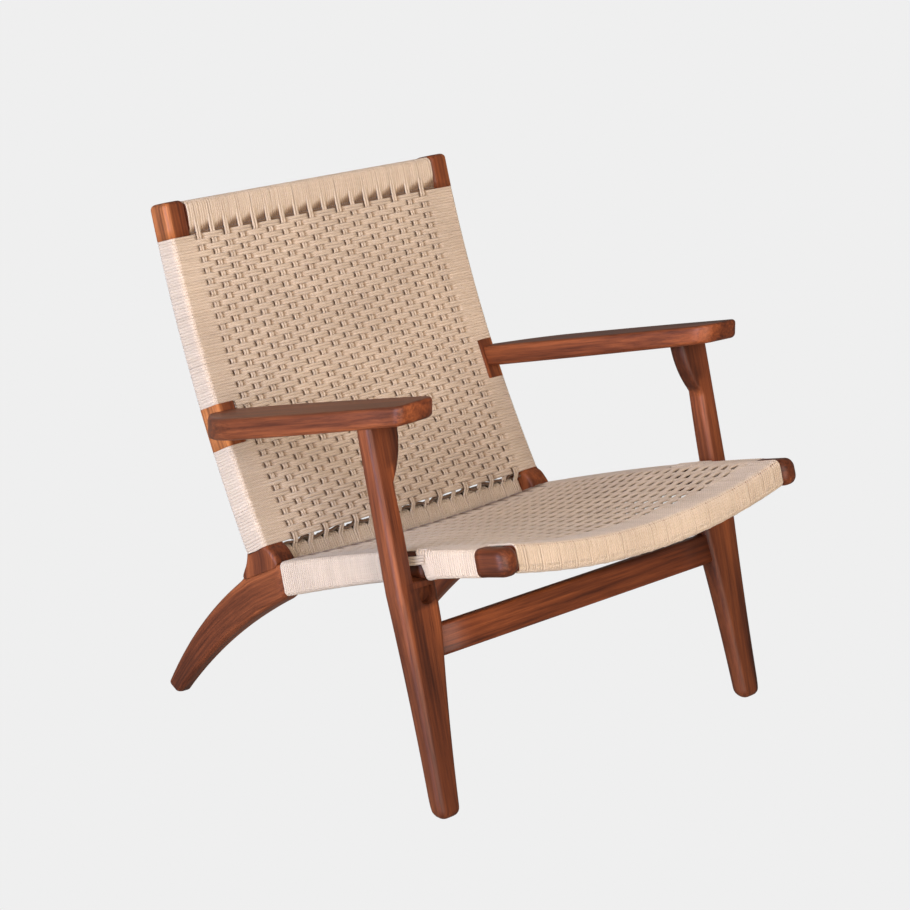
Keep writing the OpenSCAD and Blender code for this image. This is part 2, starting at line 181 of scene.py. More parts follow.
def track(corners, closed=True, bend=5, flat=4):
    """Points along straight runs between rounded corners (x, y, r), and their outward normals."""
    at = [np.array(c[:2], float) for c in corners]
    count = len(at)
    parts = []
    for i, (_, _, r) in enumerate(corners):
        if not closed and i in (0, count - 1):
            parts.append(at[i][None])
            continue
        a, b = unit(at[i - 1] - at[i]), unit(at[(i + 1) % count] - at[i])
        half = math.acos(float(a @ b)) / 2
        middle = at[i] + unit(a + b) * r / math.sin(half)
        ends = [at[i] + v * r / math.tan(half) - middle for v in (a, b)]
        t0, t1 = (math.atan2(e[1], e[0]) for e in ends)
        turn = (t1 - t0 + math.pi) % (2 * math.pi) - math.pi
        t = t0 + turn * np.linspace(0, 1, bend + 1)
        parts.append(middle + r * stacked(np.cos(t), np.sin(t)))
    points = []
    for i, part in enumerate(parts):
        points.append(part)
        if closed or i < count - 1:
            a, b = part[-1], parts[(i + 1) % count][0]
            points.append(a + (b - a) * np.linspace(0, 1, flat + 2)[1:-1, None])
    points = np.concatenate(points)
    tangent = tangents(points, closed, 0)
    normals = stacked(tangent[:, 1], -tangent[:, 0])
    if (normals * (points - points.mean(0))).sum() < 0:
        normals = -normals
    return points, normals


def volume(verts, faces):
    """Six times the volume inside a closed mesh: negative when its faces look inwards."""
    a, b, c, d = (np.array([f[k] for f in faces]) for k in (0, 1, 2, -1))
    total = 0.0
    for q in (b, c), (c, d):
        total += np.einsum("ij,ij->", verts[a], np.cross(verts[q[0]], verts[q[1]]))
    return total


def add_mesh(name, verts, faces, side=1, **attributes):
    """A smooth-shaded mesh object from points in mm. side -1 mirrors it to the other side of the chair."""
    verts = np.asarray(verts, float).copy()
    verts[:, 0] *= side
    if volume(verts, faces) < 0:
        faces = [f[::-1] for f in faces]
    mesh = bpy.data.meshes.new(name)
    mesh.from_pydata((verts * MM).tolist(), [], faces)
    for key, values in attributes.items():
        set_attribute(mesh, key, values)
    mesh.polygons.foreach_set("use_smooth", [True] * len(mesh.polygons))
    mesh.update()
    piece = bpy.data.objects.new(name, mesh)
    bpy.context.scene.collection.objects.link(piece)
    return piece


def vertex_points(mesh):
    points = np.empty(len(mesh.vertices) * 3, np.float32)
    mesh.vertices.foreach_get("co", points)
    return points.reshape(-1, 3)


def set_attribute(mesh, key, values):
    """One number for each point of the mesh, or one vector if values has three columns."""
    values = np.asarray(values, np.float32)
    kind, field = ("FLOAT_VECTOR", "vector") if values.shape[1:] == (3,) else ("FLOAT", "value")
    held = mesh.attributes.get(key)
    if held:
        mesh.attributes.remove(held)
    mesh.attributes.new(key, kind, "POINT").data.foreach_set(field, values.ravel())


def finish_piece(piece, material, nodes):
    piece.data.materials.append(material)
    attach(piece, "root")
    if nodes:
        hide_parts(*nodes)


# ---- wood: bars lofted from rounded sections ----

CORNER_STEPS = 6
FLAT_HOLD = 0.12  # place of the points that hold a flat, as a part of its length
MOST_ROUND = 0.97  # largest corner radius, as a part of the half size
GRAIN_APART = 0.37  # metres between the places in the wood that two pieces are cut from


def rounded(hu, hv, r):
    """Rounded rectangle with half sizes hu and hv, with extra points that hold its flats.

    r is the radius of the corners on the +v side and on the -v side.
    """
    corners = []
    for k, (su, sv) in enumerate(((1, 1), (-1, 1), (-1, -1), (1, -1))):
        q = min(r[0] if sv > 0 else r[1], hu * MOST_ROUND, hv * MOST_ROUND)
        a = np.radians(90 * (k + np.linspace(0, 1, CORNER_STEPS + 1)))
        corners.append(stacked(su * (hu - q) + q * np.cos(a), sv * (hv - q) + q * np.sin(a)))
    out = []
    for k in range(4):
        out.append(corners[k])
        a, b = corners[k][-1], corners[(k + 1) % 4][0]
        out.append(np.array([a + (b - a) * FLAT_HOLD, a + (b - a) * (1 - FLAT_HOLD)]))
    return np.concatenate(out)


class Station:
    """One section of a bar: its centre, two axes across it, half sizes and corner radius."""

    def __init__(self, centre, u, v, hu, hv, r):
        self.centre, self.u, self.v = np.array(centre, float), unit(u), unit(v)
        self.hu, self.hv = hu, hv
        self.r = r if isinstance(r, tuple) else (r, r)

    def ring(self, inset=0.0):
        p = rounded(self.hu - inset, self.hv - inset, [max(r - inset * 0.5, 1.0) for r in self.r])
        return p, self.centre + p[:, :1] * self.u + p[:, 1:] * self.v


def skin(rings):
    """Points and faces of a closed tube through the rings."""
    n, k = len(rings), len(rings[0])
    faces = [[i * k + j, i * k + (j + 1) % k, (i + 1) * k + (j + 1) % k, (i + 1) * k + j]
             for i in range(n - 1) for j in range(k)]
    return np.concatenate(rings), faces + [list(range(k))[::-1], [(n - 1) * k + j for j in range(k)]]


def bar(name, stations, ends=(0.0, 0.0), side=1, floor=False):
    """A bar through the stations. Each end is rounded over its own radius, past its station."""
    rings, local, s = [], [], 0.0
    path = [st.centre for st in stations]

    def add(station, inset, shift, at):
        p, ring = station.ring(inset)
        rings.append(ring + shift)
        local.append(np.column_stack([p, np.full(len(p), at)]))

    def cap(station, away, r, order, at):
        for i in order:
            a = rad(90 * i / CORNER_STEPS)
            add(station, r * (1 - math.cos(a)), away * r * math.sin(a), at + r * math.sin(a))

    if ends[0]:
        cap(stations[0], unit(path[0] - path[1]), ends[0], range(CORNER_STEPS, 0, -1), 0.0)
    for i, station in enumerate(stations):
        s += np.linalg.norm(path[i] - path[i - 1]) if i else 0.0
        add(station, 0.0, 0.0, s)
    if ends[1]:
        cap(stations[-1], unit(path[-1] - path[-2]), ends[1], range(1, CORNER_STEPS + 1), s)
    verts, faces = skin(rings)
    if floor:
        verts[:, 2] = np.maximum(verts[:, 2], 0.0)
    grain = np.concatenate(local) * MM + grain_offset(name)
    return add_mesh(name, verts, faces, side, grain=grain)


def grain_offset(name):
    """A place in the wood of its own for each piece, so that no two show the same figure."""
    seed = sum((i + 3) * ord(c) for i, c in enumerate(name))
    return np.array([seed % 17, seed % 23, seed % 29]) * GRAIN_APART


SPLAY_U = np.array([math.cos(SPLAY), math.sin(SPLAY), 0.0])
SPLAY_V = np.array([-math.sin(SPLAY), math.cos(SPLAY), 0.0])


def on_board(a, y, z):
    """A point of the right side board's own frame: a from its inner face, y along it, z up."""
    base = np.array([BOARD_OUT, BOARD_FRONT_Y, 0.0])
    return base + (a - BOARD_T) * SPLAY_U + (y - BOARD_FRONT_Y) * SPLAY_V + np.array([0, 0, z])


def board_station(top, low, inset, r, taper=0.0):
    mid, v2 = (np.array(top) + low) / 2, np.array(top) - low
    v = v2[0] * SPLAY_V + np.array([0, 0, v2[1]])
    return Station(on_board((BOARD_T + taper) / 2, *mid), SPLAY_U, v,
                   (BOARD_T - taper) / 2 - inset, np.linalg.norm(v2) / 2 - inset, r)


def rail_pair(y):
    """Top and bottom point of the side rail, square to its slope, with the bottom one at y."""
    h = (rail_top(y) - rail_low(y)) * math.cos(SLOPE)
    return (y + h * math.sin(SLOPE), rail_low(y) + h * math.cos(SLOPE)), (y, rail_low(y))


# Upper and lower edge of the side board behind the seat, as (y, z)
LEG_BACK = np.concatenate([[(100.0, 257.5), SEAT_CUT[0], SEAT_CUT[1]], arc((178, 217), (190, 207), -1, 4),
                           arc((190, 207), (361.5, 13), 12)])
LEG_UNDER = np.concatenate([[(86.0, 210.5)], arc((337, 0), (98, 200.5), -13)[::-1]])
HEEL_Y, TAPER_Y, TAPER = 353.0, 172.0, 7.0
CAP_START_Y, CAP_ROUND, HEEL_ROUND = -341.0, 13.0, 4.0
CAP_R, RAIL_R, REAR_LEG_R, POST_SEAT_R = 12.0, 10.0, 8.0, 1.5
CAP_DIM = 0.3


def side_board(name, side):
    stations = []
    for y0, y1, inset, n in ((CAP_START_Y, CAP_Y, 0, 6), (CAP_Y + BARE_STEP, LEG_GAP[0], CORD_T, 6),
                             (LEG_GAP[0] + BARE_STEP, LEG_GAP[1], 0, 6),
                             (LEG_GAP[1] + BARE_STEP, 84, CORD_T, 10)):
        stations += [board_station(*rail_pair(y), inset, CAP_R if y < CAP_Y else RAIL_R)
                     for y in np.linspace(y0, y1, n)]
    f = np.linspace(0.03, 1, 48)
    for top, low in zip(along(LEG_BACK, f), along(LEG_UNDER, f)):
        y = top[0]
        taper = TAPER * np.clip((y - TAPER_Y) / (HEEL_Y - TAPER_Y), 0, 1)
        joint = 1 - smooth((y - 172) / 26) if y > 150 else smooth((y - 99) / 6)
        r = REAR_LEG_R - (REAR_LEG_R - POST_SEAT_R) * joint, REAR_LEG_R
        stations.append(board_station(top, low, 0, r, taper))
    piece = bar(name, stations, (CAP_ROUND, HEEL_ROUND), side, floor=True)
    y = vertex_points(piece.data)[:, 1] / MM
    # Painted shade on the bare rail where it passes behind the front leg; the front cap is also made darker.
    shaded = smooth((y - LEG_GAP[0] + 14) / 4) * smooth((LEG_GAP[1] + 18 - y) / 4)
    set_attribute(piece.data, "dim", np.maximum(shaded, CAP_DIM * smooth((CAP_Y - y) / 4)))
    return piece


def post_station(front, rear, inset, r):
    front, rear = np.array(front), np.array(rear)
    mid, v = (front + rear) / 2, front - rear
    return Station((POST_IN / 2 + POST_OUT / 2, *mid), (1, 0, 0), (0, *v),
                   (POST_OUT - POST_IN) / 2 - inset, np.linalg.norm(v) / 2 - inset, r)


def post_pair(z):
    """Front and rear point of the post on a line square to its front face."""
    a, w = post_lean(z), post_depth(z)
    front = np.array([post_front(z), z])
    return front, front + w * np.array([math.cos(a), -math.sin(a)])


POST_R, POST_TOP_ROUND = 8.0, 7.0
PAINTED_LIGHT_Z, PAINTED_LIGHT_FADE = 330.0, 60.0  # painted light: the post's outer face, lit from the left, is painted lighter above this height
PAINTED_LIGHT_EDGE = POST_IN + 23


def back_post(name, side):
    low_front, low_rear = post_pair(WRAP_LOW_Z)
    cut_front, cut_rear = np.array(SEAT_CUT[0]), np.array(SEAT_CUT[1])
    into = unit(np.array([cut_front[1] - cut_rear[1], cut_rear[0] - cut_front[0]])) * -5
    toe = arc(low_front - [1, 2], cut_front + [-3, 1], -4, 10)[::-1]
    front = np.concatenate([[cut_front + into + [1, 0]], toe, [low_front]])
    heel = arc((172.5, 230), low_rear + [0.5, 3], 1, 8)
    rear = np.concatenate([[cut_rear + into - [1, 0], cut_rear], heel, [low_rear]])
    f = np.linspace(0, 1, 18)
    stations = [post_station(p, q, 0, 2 + 5 * smooth((t - 0.1) / 0.4))
                for t, p, q in zip(f, along(front, f), along(rear, f))]
    for z0, z1, inset, n in ((WRAP_LOW_Z + BARE_STEP, POST_GAP[0], CORD_T, 8),
                             (POST_GAP[0] + BARE_STEP, POST_GAP[1], 0, 4),
                             (POST_GAP[1] + BARE_STEP, POST_CAP_Z, CORD_T, 12),
                             (POST_CAP_Z + BARE_STEP, POST_TOP_Z - POST_TOP_ROUND, 0, 4)):
        stations += [post_station(*post_pair(z), inset, POST_R) for z in np.linspace(z0, z1, n)]
    piece = bar(name, stations, (0, POST_TOP_ROUND), side)
    # Painted light: the outer face is lightened above a given height, where the light from the left falls on
    # it.
    at = vertex_points(piece.data) / MM
    outer = smooth((np.abs(at[:, 0]) - PAINTED_LIGHT_EDGE) / 11)
    high = smooth((at[:, 2] - PAINTED_LIGHT_Z) / PAINTED_LIGHT_FADE)
    set_attribute(piece.data, "tone", high * (0.03 + 0.97 * outer))
    return piece


# Inner and outer face of the right front leg, as (x, z) curves
LEG_OUTER = np.concatenate([[(324, 0)], arc((326.5, 20), (334, 300), 2.2), [(334.5, 540)]])
LEG_INNER = np.concatenate([
    [(293, 0)], arc((290.5, 14), (266, 246), -2.5), [(266, 305.5), (303, 307.5)],
    arc((304, 320), (304, 400), 0.5, 3), arc((305, 436), (281, 500), 5), [(273, 540)]])
LEG_FOOT_Y = -260.5
LEG_JOINT_Z = 300.0  # the leg is fuller and rounder below its joint with the side board
LEG_GROWTH, LOW_LEG_R, HIGH_LEG_R, FOOT_ROUND = 1.0, 9.5, 7.5, 13.0


def leg_mid(z):
    return LEG_FOOT_Y + LEG_LEAN * z


def leg_depth(z):
    return np.interp(z, (0, 306, 540), (24, 32, 27.5))


def across_at(curve, z):
    return float(np.interp(z, curve[:, 1], curve[:, 0]))


def front_leg(name, side):
    heights = np.r_[FOOT_ROUND, np.linspace(16, LEG_JOINT_Z, 30), 304, 305.5, 306, 306.7, 307.5, 309, 320,
                    np.linspace(330, 516, 40)]
    stations = []
    for z in heights:
        low = z < LEG_JOINT_Z
        grow = LEG_GROWTH if low else 0
        x0, x1 = across_at(LEG_INNER, z) - grow, across_at(LEG_OUTER, z) + grow
        stations.append(Station(((x0 + x1) / 2, leg_mid(z), z), (1, 0, 0), (0, 1, 0),
                                (x1 - x0) / 2, leg_depth(z) / 2 + grow,
                                LOW_LEG_R if low else HIGH_LEG_R))
    leg = bar(name, stations, (FOOT_ROUND, 0), side, floor=True)
    carve(leg, bolt_pocket(side))
    colour_leg(leg)
    return leg


POCKET_X, POCKET_W, POCKET_Z, POCKET_DEEP = 288.0, 26.0, (276.0, 299.0), 9.0
POCKET_R = (3, 11)  # square at the top, round at the bottom
POCKET_MID_Z = sum(POCKET_Z) / 2
SHARP_EDGE = rad(40)


def bolt_pocket(side):
    """The blind pocket in a leg's front face that the bolt head sits in."""
    z0, z1 = POCKET_Z
    front = leg_mid(POCKET_MID_Z) - leg_depth(z0) / 2
    stations = [Station((POCKET_X, y, POCKET_MID_Z), (1, 0, 0), (0, 0, 1),
                        POCKET_W / 2, (z1 - z0) / 2, POCKET_R)
                for y in (front - 30, front - 5, front + POCKET_DEEP)]
    return bar("pocket", stations, side=side)


def carve(piece, cutter):
    """Takes the cutter's volume out of the piece."""
    cut = piece.modifiers.new("cut", "BOOLEAN")
    cut.object, cut.operation, cut.solver = cutter, "DIFFERENCE", "EXACT"
    graph = bpy.context.evaluated_depsgraph_get()
    mesh = bpy.data.meshes.new_from_object(piece.evaluated_get(graph))
    mesh.set_sharp_from_angle(angle=SHARP_EDGE)
    piece.modifiers.clear()
    old, piece.data = piece.data, mesh
    bpy.data.meshes.remove(old)
    bpy.data.objects.remove(cutter)


def colour_leg(leg):
    """Grain along a carved leg, painted shade by the side board and in the bolt pocket, and darker wood low
    down.
    """
    at = vertex_points(leg.data)
    x, z = np.abs(at[:, 0]) / MM, at[:, 2] / MM
    grain = stacked(at[:, 0], at[:, 1] - leg_mid(z) * MM, at[:, 2])
    # Painted shade on the face under the side board and inside the bolt pocket
    painted_shade_by_board = smooth((306 - x) / 6) * smooth((z - 268) / 10)
    behind_face = at[:, 1] / MM - leg_mid(z) + leg_depth(z) / 2
    painted_shade_in_pocket = smooth((behind_face - 1) / 2) * (np.abs(x - POCKET_X) < 14) * (np.abs(z - POCKET_MID_Z) < 14)
    low = 0.7 * smooth((0.32 - at[:, 2]) / 0.16)
    set_attribute(leg.data, "grain", grain + grain_offset(leg.name))
    set_attribute(leg.data, "dim", np.maximum(np.maximum(painted_shade_by_board, painted_shade_in_pocket), low))


ARM_FRONT_Y, ARM_REAR_Y = box("right_armrest")[0][1], box("right_armrest")[1][1]
ARM_H, ARM_SLOPE, ARM_TILT, ARM_MID_X = 550.0, math.tan(rad(13.66)), math.tan(rad(1.6)), 300.0
ARM_T, ARM_REAR_T = 27.0, 32.0
ARM_INNER_R, ARM_OUTER_R = 26.0, 11.0
# The second number is the painted shade on the armrests' tops, which get less light than their sides.
ARM_EDGE_R, ARM_TOP_SHADE = 6.0, 0.42


def arm_top(x, y):
    return ARM_H + ARM_SLOPE * (ARM_FRONT_Y - y) - ARM_TILT * (x - ARM_MID_X)


def arm_low(x, y):
    return arm_top(x, y) - ARM_T - (ARM_REAR_T - ARM_T) * (y - ARM_FRONT_Y) / (ARM_REAR_Y - ARM_FRONT_Y)


def armrest(name, side):
    front, rear = ARM_FRONT_Y, ARM_REAR_Y
    a, b = (262, front), (335, front)
    wide, tail = (341, 104), (282, rear)
    plan = np.concatenate([
        corner((251, 30), a, b, ARM_INNER_R, 14), corner(a, b, (342, -60), ARM_OUTER_R, 10),
        arc((336.3, front + 28), wide, -4.6), arc(wide, (tail[0] + 6, rear - 7), -14, 12),
        arc((tail[0] + 6, rear - 7), (tail[0] - 4, rear), -2.6, 5),
        arc((250, rear), (260.4, front + 28), -7, 20)])
    plan = along(np.vstack([plan, plan[:1]]), np.linspace(0, 1, 261)[:-1])
    tangent = unit(np.roll(plan, -2, 0) - np.roll(plan, 2, 0))
    inward = stacked(-tangent[:, 1], tangent[:, 0])
    r = ARM_EDGE_R
    rows = [(r + 2.5, 0.0, 0)] + [(r * (1 - math.sin(t)), r * (1 - math.cos(t)), 0)
                                  for t in np.radians(range(0, 91, 15))]
    rows += [(i, d, 1) for i, d, _ in rows[::-1]]
    rings, local = [], []
    for inset, depth, top in rows:
        p = plan + inward * inset
        z = arm_top(*p.T) - depth if top else arm_low(*p.T) + depth
        rings.append(np.column_stack([p, z]))
        local.append(stacked(p[:, 0], z - arm_top(*p.T), p[:, 1]))
    local = np.concatenate(local)
    # Painted shade: the top face is darkened, as it gets less light than the sides.
    return add_mesh(name, *skin(rings), side, grain=local * MM + grain_offset(name),
                    dim=ARM_TOP_SHADE * smooth((local[:, 1] + 3) / 3))


STRETCHER_HALF_X, STRETCHER_H, STRETCHER_D, STRETCHER_R = 274.0, 42.0, 21.0, 5.0


def stretcher(name):
    lo, hi = box("front_stretcher")
    z = (lo[2] + hi[2]) / 2
    stations = [Station((x, leg_mid(z), z), (0, 1, -LEG_LEAN), (0, LEG_LEAN, 1), STRETCHER_D / 2,
                        STRETCHER_H / 2, STRETCHER_R)
                for x in np.linspace(-STRETCHER_HALF_X, STRETCHER_HALF_X, 9)]
    return bar(name, stations)


# ---- cord: strands swept along their paths ----

SIDES = 8  # points round a strand
RNG = np.random.default_rng(25)


def strands(name, cords, depth, closed=False, side=1):
    """Flattened round strands, one for each cord: its path, its flat side's normals, width and painted shade.

    The painted shade follows how deep in the weave each point lies, from 0 to 1; deeper points are painted
    darker.
    """
    paths, normals = (np.array([cord[k] for cord in cords], float) for k in (0, 1))
    count, n = paths.shape[:2]
    width, hollow = (np.array([np.broadcast_to(cord[k], n) for cord in cords]) for k in (2, 3))
    tangent = tangents(paths, closed, 1)
    across = unit(np.cross(tangent, unit(normals)))
    lift = np.cross(across, tangent)
    a = 2 * np.pi * np.arange(SIDES) / SIDES
    verts = (paths[:, :, None] + across[:, :, None] * np.cos(a)[:, None] * width[:, :, None, None] / 2
             + lift[:, :, None] * np.sin(a)[:, None] * depth / 2)
    steps = n if closed else n - 1
    ring = np.arange(SIDES)
    quad = stacked(ring, (ring + 1) % SIDES, (ring + 1) % SIDES + SIDES, ring + SIDES)
    one = (quad[None] + (np.arange(steps) * SIDES)[:, None, None]).reshape(-1, 4) % (n * SIDES)
    faces = (one[None] + (np.arange(count) * n * SIDES)[:, None, None]).reshape(-1, 4)[:, ::-1]
    steps_long = np.linalg.norm(np.diff(paths, axis=1), axis=2).T
    length = np.cumsum(np.r_[np.zeros((1, count)), steps_long], axis=0).T
    lay = stacked(np.cos(a), np.sin(a), length[:, :, None] * MM)
    shade = np.broadcast_to(RNG.random((count, 1, 1)), (count, n, SIDES))
    return add_mesh(name, verts.reshape(-1, 3), faces.tolist(), side, lay=lay.reshape(-1, 3), shade=shade,
                    hollow=np.repeat(hollow, SIDES))


HALF = CORD_T / 2
CORD_W = 3.9
FULL = 1.12  # width of packed cords over their pitch, so that no slit shows
WARP_GAP = 2.2  # each cord of a warp pair from the pair's middle
WEFT_FRONT, WEFT_DEEP = 1.4, 6.6  # depth of the weft over a pair and under it
WEFT_T, WARP_T = CORD_T + 0.3, CORD_T + 0.2
WARP_MID, WARP_SWING = 3.6, 1.6
DIVE, SEAT_DIVE = (4.0, 12.0), (5.2, 10.8)  # from a pair's middle: the weft is down, and back up
SEAT_SINK = 1.6
EDGE_FADE = 14.0  # the weave flattens out this near to its sides
EDGE_R = 6.0
WARPS, BACK_ROWS = 17, 53
BACK_PITCH = (POST_CAP_Z - WRAP_LOW_Z) / BACK_ROWS


def loop(w, h, r):
    """Closed turn of cord just inside a w by h outline; r has its corner radii, from (0, 0) on."""
    a, b = HALF, w - HALF
    c, d = HALF, h - HALF
    return track([(a, c, r[0]), (b, c, r[1]), (b, d, r[2]), (a, d, r[3])])


def wander(x):
    """Small waves of a strand, in mm, drawn anew for each strand."""
    return RNG.normal(0, 0.12) + 0.12 * np.sin(x / RNG.uniform(35, 60) + RNG.uniform(0, 6))


def back_warp_x(j, z):
    """Place across the back of warp j at height z: the warps fan a little."""
    u = j / (WARPS - 1)
    top = -225.5 + 408 * u + 28 * u * u
    low = -215.6 + 472 * u - 28 * u * u
    t = (POST_CAP_Z - z) / (POST_CAP_Z - WRAP_LOW_Z)
    return top + (low - top) * t


def back_point(x, d, z):
    """A point d behind the posts' front face, square to it, at height z on that face."""
    a = post_lean(z)
    return stacked(x, post_front(z) + d * np.cos(a), z - d * np.sin(a))


def back_normal(nx, nd, z):
    a = post_lean(z)
    return stacked(nx, nd * np.cos(a), -nd * np.sin(a))


def weft_depth(x, crossings, row, dive=DIVE):
    """Depth of a weft strand at x, and how far down it is: it dives by the warps that pass in front of it."""
    nearest = np.abs(x[:, None] - crossings[None]).argmin(1)
    near = np.abs(x - crossings[nearest])
    dives = (nearest + row) % 2 == 0
    down = smooth((dive[1] - near) / (dive[1] - dive[0])) * dives
    lift = 0.7 * smooth((13 - near) / 12) * ~dives
    return WEFT_FRONT - lift + (WEFT_DEEP - WEFT_FRONT) * down, down


def back_rows():
    """Row number, height and pitch of each weft strand of the back, two to a row."""
    for i in range(BACK_ROWS):
        pitch = BACK_PITCH / math.cos(post_lean(POST_CAP_Z - i * BACK_PITCH))
        for s in (-0.25, 0.25):
            yield i, POST_CAP_Z - (i + 0.5 + s) * BACK_PITCH, pitch


# Cords behind the first and last row, that close the view through, painted fully dark as shade: height, depth
# and sway
BACKING_CORDS = ((POST_CAP_Z + 1.5, 5.0, 0.0), (POST_CAP_Z - 0.5, 7.0, 0.0), (WRAP_LOW_Z - 2.6, 8.0, 1.5))
BACK_WEAVE_SHADE = 0.85


def back_weft():
    """Weft strands of the back: over one pair of warps, under the next, then across the posts' fronts."""
    cords = []
    edge = POST_IN + 1
    for i, z, pitch in back_rows():
        out = POST_IN + 2 if POST_GAP[0] < z < POST_GAP[1] else POST_OUT - EDGE_R - HALF + 1
        inner = np.linspace(-edge, edge, 10 * WARPS + 3)
        x = np.concatenate([np.linspace(-out, -edge, 5)[:-1], inner, np.linspace(edge, out, 5)[1:]])
        cross = np.array([back_warp_x(j, z) for j in range(WARPS)])
        fade = smooth((edge - np.abs(x)) / EDGE_FADE)
        d, down = weft_depth(x, cross, i)
        d = HALF - 0.15 + (d - HALF + 0.15) * fade
        z = z + wander(x) * fade
        # Painted shade, and extra width, where the weft dives behind the warps
        cords.append((back_point(x, d, z), back_normal(0, -1, z), pitch / 2 * (FULL + 0.3 * down * fade),
                      BACK_WEAVE_SHADE * down * fade))
    x = np.linspace(-POST_IN, POST_IN, len(x))
    # The backing cords are painted fully dark, as shade.
    for z, d, sway in BACKING_CORDS:
        z = z + sway * (np.sin(x / 8.3) + np.sin(x / 5.1 + 2))
        cords.append((back_point(x, d, z), back_normal(0, -1, z), CORD_W, 1.0))
    return strands("back_weft", cords, WEFT_T)


def post_wrap(name, z0, z1, side):
    """Turns of cord round a post between heights z0 and z1 of its front face."""
    cords = []
    for _, z, pitch in back_rows():
        if not z0 < z < z1:
            continue
        p, m = loop(POST_OUT - POST_IN, float(post_depth(z)), (2.5, EDGE_R, EDGE_R, EDGE_R))
        z = z + RNG.normal(0, 0.1)
        cords.append((back_point(POST_IN + p[:, 0], p[:, 1], z), back_normal(*m.T, z),
                      pitch / 2 * 1.1 * RNG.uniform(0.98, 1.09), 0.0))
    return strands(name, cords, CORD_T, closed=True, side=side)


class RailFrame:
    """The frame of a rail: its front lower edge at (y, z), leaning back by lean."""

    def __init__(self, y, z, lean):
        self.y, self.z, self.c, self.s = y, z, math.cos(lean), math.sin(lean)

    def point(self, x, p, q):
        """p back from the front face, q up from the underside."""
        return stacked(x, self.y + p * self.c + q * self.s, self.z - p * self.s + q * self.c)

    def normal(self, p, q):
        return stacked(0, p * self.c + q * self.s, -p * self.s + q * self.c)


TOP_RAIL = RailFrame(post_front(POST_CAP_Z + 1), POST_CAP_Z + 1, post_lean(POST_TOP_Z))
TOP_RAIL_D, TOP_RAIL_H = 25.0, 48.0
LOW_RAIL = RailFrame(119.0, 241.0, rad(29))
LOW_RAIL_D, LOW_RAIL_H, LOW_RAIL_UNDER = 28.0, 27.0, -7.0
HOOK_Q = 17.0  # the warps leave the top rail's front here
BAND = WARP_GAP + CORD_W / 2 - 0.1  # half the width of a warp pair


def fillers(warps, edge, half_band):
    """Places of the filler turns between the warp pairs, out to +-edge."""
    spans = [(-edge, warps[0] - half_band)]
    spans += [(a + half_band, b - half_band) for a, b in zip(warps[:-1], warps[1:])]
    spans += [(warps[-1] + half_band, edge)]
    places = []
    for a, b in spans:
        n = max(1, round((b - a) / CORD_W))
        places += [(a + (b - a) * (i + 0.5) / n, (b - a) / n) for i in range(n)]
    return places


def rail_turns(name, rail, outline, hollow, warps, round_ends=0.0):
    """Closed filler turns round a straight rail, between its warp pairs.

    The shade function gives, from the turn's place between two warps (0 to 1), how deep the turn's points
    lie; they are painted that much darker, as shade.
    round_ends is how far the turns sink at the rail's ends.
    """
    cords = []
    p, m = outline
    knots = np.concatenate([[-POST_IN], warps, [POST_IN]])
    for x, pitch in fillers(warps, POST_IN - 0.5, BAND):
        end = max(0.0, 1 - (POST_IN - abs(x)) / 9) ** 2 * round_ends
        x = x + RNG.normal(0, 0.1)
        lean = RNG.normal(0, 0.25)
        k = np.searchsorted(knots, x)
        cords.append((rail.point(x + lean * p[:, 1] / 30, *(p - end * m).T), rail.normal(*m.T), pitch * FULL,
                      hollow((x - knots[k - 1]) / (knots[k] - knots[k - 1]))))
    return strands(name, cords, CORD_T, closed=True)


def back_rail_cords():
    """Filler turns of the top rail and of the bottom rail, as two pieces."""
    d, h = TOP_RAIL_D - HALF, TOP_RAIL_H - HALF
    top = track([(8, HALF, 2), (d, HALF, 7), (d, h, 8.5), (HALF, h, 8.5), (HALF, 24, 9), (4.6, 4, 2)], flat=5)
    d, under = LOW_RAIL_D - HALF, LOW_RAIL_UNDER
    low = track([(HALF, under, 8), (d, under, 8), (d, LOW_RAIL_H + 7.5, 5),
                 (HALF + 1, LOW_RAIL_H - HALF, 8)], flat=5)

    # Painted shade on the top rail's fillers low on its front, between the warp pairs
    def under_top(t):
        return smooth((9 + 13 * t - top[0][:, 1]) / 12)

    # Painted shade on the bottom rail's fillers over its top and under it
    def over_low(t):
        q = low[0][:, 1]
        return np.maximum(0.7 * smooth((q - LOW_RAIL_H + 2.5) / 5), 0.5 * smooth((-4.5 - q) / 2.5))

    top_x = [back_warp_x(j, POST_CAP_Z + 3) for j in range(WARPS)]
    low_x = [back_warp_x(j, WRAP_LOW_Z - 3) for j in range(WARPS)]
    return (rail_turns("top_rail_turns", TOP_RAIL, top, under_top, top_x),
            rail_turns("low_rail_turns", LOW_RAIL, low, over_low, low_x, 5.0))


